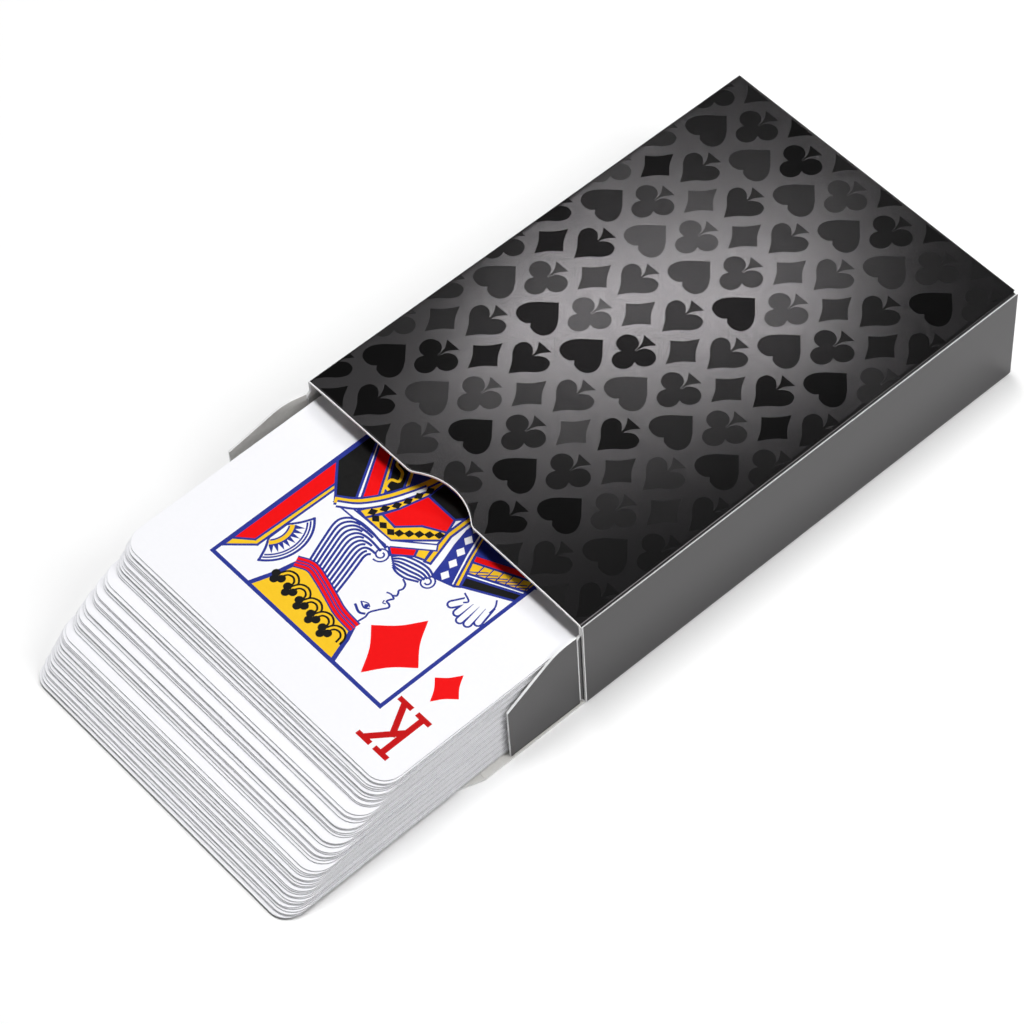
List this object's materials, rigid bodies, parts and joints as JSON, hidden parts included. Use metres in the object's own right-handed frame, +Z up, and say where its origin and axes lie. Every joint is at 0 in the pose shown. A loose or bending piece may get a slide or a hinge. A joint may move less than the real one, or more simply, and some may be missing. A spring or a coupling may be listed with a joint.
{
  "type": "playing card deck",
  "caption": "Deck of playing cards fanned part way out of the open mouth of a black board tuck box; each card slides, and the box's flaps, lid and tongue fold at their creases.",
  "frame": {"origin": "centre of the box's underside, on the surface that the box lies on", "axes": "+Z up through the front panel, +Y from the mouth to the closed end, +X to the right as seen from the mouth"},
  "size_m": [0.0689, 0.1558, 0.0217],
  "materials": {
    "black_board": "matt black coated board with gloss varnish motifs, white core and inside",
    "card_stock": "smooth white coated card stock, printed face and black back"
  },
  "bodies": {
    "box": {"sleeve": "black_board", "end_closure": "black_board"},
    "left_dust_flap": {"left_dust_flap": "black_board"},
    "right_dust_flap": {"right_dust_flap": "black_board"},
    "lid_panel": {"lid_panel": "black_board"},
    "tuck_tongue": {"tuck_tongue": "black_board"},
    "king_of_diamonds": {"king_of_diamonds": "card_stock"},
    "queen_of_diamonds": {"queen_of_diamonds": "card_stock"},
    "jack_of_diamonds": {"jack_of_diamonds": "card_stock"},
    "ten_of_diamonds": {"ten_of_diamonds": "card_stock"},
    "nine_of_diamonds": {"nine_of_diamonds": "card_stock"},
    "eight_of_diamonds": {"eight_of_diamonds": "card_stock"},
    "seven_of_diamonds": {"seven_of_diamonds": "card_stock"},
    "six_of_diamonds": {"six_of_diamonds": "card_stock"},
    "five_of_diamonds": {"five_of_diamonds": "card_stock"},
    "four_of_diamonds": {"four_of_diamonds": "card_stock"},
    "three_of_diamonds": {"three_of_diamonds": "card_stock"},
    "two_of_diamonds": {"two_of_diamonds": "card_stock"},
    "ace_of_diamonds": {"ace_of_diamonds": "card_stock"},
    "king_of_clubs": {"king_of_clubs": "card_stock"},
    "queen_of_clubs": {"queen_of_clubs": "card_stock"},
    "jack_of_clubs": {"jack_of_clubs": "card_stock"},
    "ten_of_clubs": {"ten_of_clubs": "card_stock"},
    "nine_of_clubs": {"nine_of_clubs": "card_stock"},
    "eight_of_clubs": {"eight_of_clubs": "card_stock"},
    "seven_of_clubs": {"seven_of_clubs": "card_stock"},
    "six_of_clubs": {"six_of_clubs": "card_stock"},
    "five_of_clubs": {"five_of_clubs": "card_stock"},
    "four_of_clubs": {"four_of_clubs": "card_stock"},
    "three_of_clubs": {"three_of_clubs": "card_stock"},
    "two_of_clubs": {"two_of_clubs": "card_stock"},
    "ace_of_clubs": {"ace_of_clubs": "card_stock"},
    "king_of_hearts": {"king_of_hearts": "card_stock"},
    "queen_of_hearts": {"queen_of_hearts": "card_stock"},
    "jack_of_hearts": {"jack_of_hearts": "card_stock"},
    "ten_of_hearts": {"ten_of_hearts": "card_stock"},
    "nine_of_hearts": {"nine_of_hearts": "card_stock"},
    "eight_of_hearts": {"eight_of_hearts": "card_stock"},
    "seven_of_hearts": {"seven_of_hearts": "card_stock"},
    "six_of_hearts": {"six_of_hearts": "card_stock"},
    "five_of_hearts": {"five_of_hearts": "card_stock"},
    "four_of_hearts": {"four_of_hearts": "card_stock"},
    "three_of_hearts": {"three_of_hearts": "card_stock"},
    "two_of_hearts": {"two_of_hearts": "card_stock"},
    "ace_of_hearts": {"ace_of_hearts": "card_stock"},
    "king_of_spades": {"king_of_spades": "card_stock"},
    "queen_of_spades": {"queen_of_spades": "card_stock"},
    "jack_of_spades": {"jack_of_spades": "card_stock"},
    "ten_of_spades": {"ten_of_spades": "card_stock"},
    "nine_of_spades": {"nine_of_spades": "card_stock"},
    "eight_of_spades": {"eight_of_spades": "card_stock"},
    "seven_of_spades": {"seven_of_spades": "card_stock"},
    "six_of_spades": {"six_of_spades": "card_stock"},
    "five_of_spades": {"five_of_spades": "card_stock"},
    "four_of_spades": {"four_of_spades": "card_stock"},
    "three_of_spades": {"three_of_spades": "card_stock"},
    "two_of_spades": {"two_of_spades": "card_stock"},
    "ace_of_spades": {"ace_of_spades": "card_stock"},
    "red_joker": {"red_joker": "card_stock"},
    "black_joker": {"black_joker": "card_stock"}
  },
  "joints": [
    {"name": "crease_left_dust_flap", "type": "hinge", "parent": "box", "child": "left_dust_flap", "pos_m": [-0.03275, -0.04835, 0.0106], "axis": [0, 0, -1], "range_deg": [-13, 120]},
    {"name": "crease_lid", "type": "hinge", "parent": "box", "child": "lid_panel", "pos_m": [0, -0.04755, 0], "axis": [1, 0, 0], "range_deg": [0, 120]},
    {"name": "crease_right_dust_flap", "type": "hinge", "parent": "box", "child": "right_dust_flap", "pos_m": [0.03235, -0.04835, 0.0106], "axis": [0, 0, 1], "range_deg": [0, 135]},
    {"name": "crease_tuck_tongue", "type": "hinge", "parent": "lid_panel", "child": "tuck_tongue", "pos_m": [0, -0.0684, 0], "axis": [1, 0, 0], "range_deg": [0, 60]},
    {"name": "slide_king_of_diamonds", "type": "slide", "parent": "box", "child": "king_of_diamonds", "axis": [0, -1, 0], "range_m": [-0.0451, 0.0464]},
    {"name": "slide_queen_of_diamonds", "type": "slide", "parent": "box", "child": "queen_of_diamonds", "axis": [0, -1, 0], "range_m": [-0.0455, 0.0459]},
    {"name": "slide_jack_of_diamonds", "type": "slide", "parent": "box", "child": "jack_of_diamonds", "axis": [0, -1, 0], "range_m": [-0.0455, 0.0459]},
    {"name": "slide_ten_of_diamonds", "type": "slide", "parent": "box", "child": "ten_of_diamonds", "axis": [0, -1, 0], "range_m": [-0.046, 0.0454]},
    {"name": "slide_nine_of_diamonds", "type": "slide", "parent": "box", "child": "nine_of_diamonds", "axis": [0, -1, 0], "range_m": [-0.0462, 0.0452]},
    {"name": "slide_eight_of_diamonds", "type": "slide", "parent": "box", "child": "eight_of_diamonds", "axis": [0, -1, 0], "range_m": [-0.0464, 0.045]},
    {"name": "slide_seven_of_diamonds", "type": "slide", "parent": "box", "child": "seven_of_diamonds", "axis": [0, -1, 0], "range_m": [-0.0469, 0.0445]},
    {"name": "slide_six_of_diamonds", "type": "slide", "parent": "box", "child": "six_of_diamonds", "axis": [0, -1, 0], "range_m": [-0.0469, 0.0445]},
    {"name": "slide_five_of_diamonds", "type": "slide", "parent": "box", "child": "five_of_diamonds", "axis": [0, -1, 0], "range_m": [-0.0473, 0.0441]},
    {"name": "slide_four_of_diamonds", "type": "slide", "parent": "box", "child": "four_of_diamonds", "axis": [0, -1, 0], "range_m": [-0.0477, 0.0437]},
    {"name": "slide_three_of_diamonds", "type": "slide", "parent": "box", "child": "three_of_diamonds", "axis": [0, -1, 0], "range_m": [-0.0477, 0.0437]},
    {"name": "slide_two_of_diamonds", "type": "slide", "parent": "box", "child": "two_of_diamonds", "axis": [0, -1, 0], "range_m": [-0.0483, 0.0431]},
    {"name": "slide_ace_of_diamonds", "type": "slide", "parent": "box", "child": "ace_of_diamonds", "axis": [0, -1, 0], "range_m": [-0.0484, 0.043]},
    {"name": "slide_king_of_clubs", "type": "slide", "parent": "box", "child": "king_of_clubs", "axis": [0, -1, 0], "range_m": [-0.0504, 0.041]},
    {"name": "slide_queen_of_clubs", "type": "slide", "parent": "box", "child": "queen_of_clubs", "axis": [0, -1, 0], "range_m": [-0.0509, 0.0405]},
    {"name": "slide_jack_of_clubs", "type": "slide", "parent": "box", "child": "jack_of_clubs", "axis": [0, -1, 0], "range_m": [-0.0509, 0.0405]},
    {"name": "slide_ten_of_clubs", "type": "slide", "parent": "box", "child": "ten_of_clubs", "axis": [0, -1, 0], "range_m": [-0.0514, 0.04]},
    {"name": "slide_nine_of_clubs", "type": "slide", "parent": "box", "child": "nine_of_clubs", "axis": [0, -1, 0], "range_m": [-0.0528, 0.0386]},
    {"name": "slide_eight_of_clubs", "type": "slide", "parent": "box", "child": "eight_of_clubs", "axis": [0, -1, 0], "range_m": [-0.0528, 0.0386]},
    {"name": "slide_seven_of_clubs", "type": "slide", "parent": "box", "child": "seven_of_clubs", "axis": [0, -1, 0], "range_m": [-0.0534, 0.038]},
    {"name": "slide_six_of_clubs", "type": "slide", "parent": "box", "child": "six_of_clubs", "axis": [0, -1, 0], "range_m": [-0.0535, 0.0379]},
    {"name": "slide_five_of_clubs", "type": "slide", "parent": "box", "child": "five_of_clubs", "axis": [0, -1, 0], "range_m": [-0.0537, 0.0377]},
    {"name": "slide_four_of_clubs", "type": "slide", "parent": "box", "child": "four_of_clubs", "axis": [0, -1, 0], "range_m": [-0.0552, 0.0362]},
    {"name": "slide_three_of_clubs", "type": "slide", "parent": "box", "child": "three_of_clubs", "axis": [0, -1, 0], "range_m": [-0.0552, 0.0362]},
    {"name": "slide_two_of_clubs", "type": "slide", "parent": "box", "child": "two_of_clubs", "axis": [0, -1, 0], "range_m": [-0.0557, 0.0357]},
    {"name": "slide_ace_of_clubs", "type": "slide", "parent": "box", "child": "ace_of_clubs", "axis": [0, -1, 0], "range_m": [-0.0567, 0.0347]},
    {"name": "slide_king_of_hearts", "type": "slide", "parent": "box", "child": "king_of_hearts", "axis": [0, -1, 0], "range_m": [-0.0568, 0.0346]},
    {"name": "slide_queen_of_hearts", "type": "slide", "parent": "box", "child": "queen_of_hearts", "axis": [0, -1, 0], "range_m": [-0.0573, 0.0341]},
    {"name": "slide_jack_of_hearts", "type": "slide", "parent": "box", "child": "jack_of_hearts", "axis": [0, -1, 0], "range_m": [-0.0574, 0.034]},
    {"name": "slide_ten_of_hearts", "type": "slide", "parent": "box", "child": "ten_of_hearts", "axis": [0, -1, 0], "range_m": [-0.0577, 0.0337]},
    {"name": "slide_nine_of_hearts", "type": "slide", "parent": "box", "child": "nine_of_hearts", "axis": [0, -1, 0], "range_m": [-0.0581, 0.0333]},
    {"name": "slide_eight_of_hearts", "type": "slide", "parent": "box", "child": "eight_of_hearts", "axis": [0, -1, 0], "range_m": [-0.0597, 0.0317]},
    {"name": "slide_seven_of_hearts", "type": "slide", "parent": "box", "child": "seven_of_hearts", "axis": [0, -1, 0], "range_m": [-0.0603, 0.0311]},
    {"name": "slide_six_of_hearts", "type": "slide", "parent": "box", "child": "six_of_hearts", "axis": [0, -1, 0], "range_m": [-0.0604, 0.031]},
    {"name": "slide_five_of_hearts", "type": "slide", "parent": "box", "child": "five_of_hearts", "axis": [0, -1, 0], "range_m": [-0.0606, 0.0308]},
    {"name": "slide_four_of_hearts", "type": "slide", "parent": "box", "child": "four_of_hearts", "axis": [0, -1, 0], "range_m": [-0.0611, 0.0303]},
    {"name": "slide_three_of_hearts", "type": "slide", "parent": "box", "child": "three_of_hearts", "axis": [0, -1, 0], "range_m": [-0.0611, 0.0303]},
    {"name": "slide_two_of_hearts", "type": "slide", "parent": "box", "child": "two_of_hearts", "axis": [0, -1, 0], "range_m": [-0.0616, 0.0298]},
    {"name": "slide_ace_of_hearts", "type": "slide", "parent": "box", "child": "ace_of_hearts", "axis": [0, -1, 0], "range_m": [-0.0619, 0.0295]},
    {"name": "slide_king_of_spades", "type": "slide", "parent": "box", "child": "king_of_spades", "axis": [0, -1, 0], "range_m": [-0.0619, 0.0295]},
    {"name": "slide_queen_of_spades", "type": "slide", "parent": "box", "child": "queen_of_spades", "axis": [0, -1, 0], "range_m": [-0.0625, 0.0289]},
    {"name": "slide_jack_of_spades", "type": "slide", "parent": "box", "child": "jack_of_spades", "axis": [0, -1, 0], "range_m": [-0.0626, 0.0288]},
    {"name": "slide_ten_of_spades", "type": "slide", "parent": "box", "child": "ten_of_spades", "axis": [0, -1, 0], "range_m": [-0.0628, 0.0286]},
    {"name": "slide_nine_of_spades", "type": "slide", "parent": "box", "child": "nine_of_spades", "axis": [0, -1, 0], "range_m": [-0.0633, 0.0281]},
    {"name": "slide_eight_of_spades", "type": "slide", "parent": "box", "child": "eight_of_spades", "axis": [0, -1, 0], "range_m": [-0.0633, 0.0281]},
    {"name": "slide_seven_of_spades", "type": "slide", "parent": "box", "child": "seven_of_spades", "axis": [0, -1, 0], "range_m": [-0.0638, 0.0276]},
    {"name": "slide_six_of_spades", "type": "slide", "parent": "box", "child": "six_of_spades", "axis": [0, -1, 0], "range_m": [-0.0641, 0.0273]},
    {"name": "slide_five_of_spades", "type": "slide", "parent": "box", "child": "five_of_spades", "axis": [0, -1, 0], "range_m": [-0.0642, 0.0272]},
    {"name": "slide_four_of_spades", "type": "slide", "parent": "box", "child": "four_of_spades", "axis": [0, -1, 0], "range_m": [-0.0647, 0.0267]},
    {"name": "slide_three_of_spades", "type": "slide", "parent": "box", "child": "three_of_spades", "axis": [0, -1, 0], "range_m": [-0.0648, 0.0266]},
    {"name": "slide_two_of_spades", "type": "slide", "parent": "box", "child": "two_of_spades", "axis": [0, -1, 0], "range_m": [-0.0651, 0.0263]},
    {"name": "slide_ace_of_spades", "type": "slide", "parent": "box", "child": "ace_of_spades", "axis": [0, -1, 0], "range_m": [-0.0655, 0.0259]},
    {"name": "slide_red_joker", "type": "slide", "parent": "box", "child": "red_joker", "axis": [0, -1, 0], "range_m": [-0.0655, 0.0259]},
    {"name": "slide_black_joker", "type": "slide", "parent": "box", "child": "black_joker", "axis": [0, -1, 0], "range_m": [-0.066, 0.0254]}
  ]
}
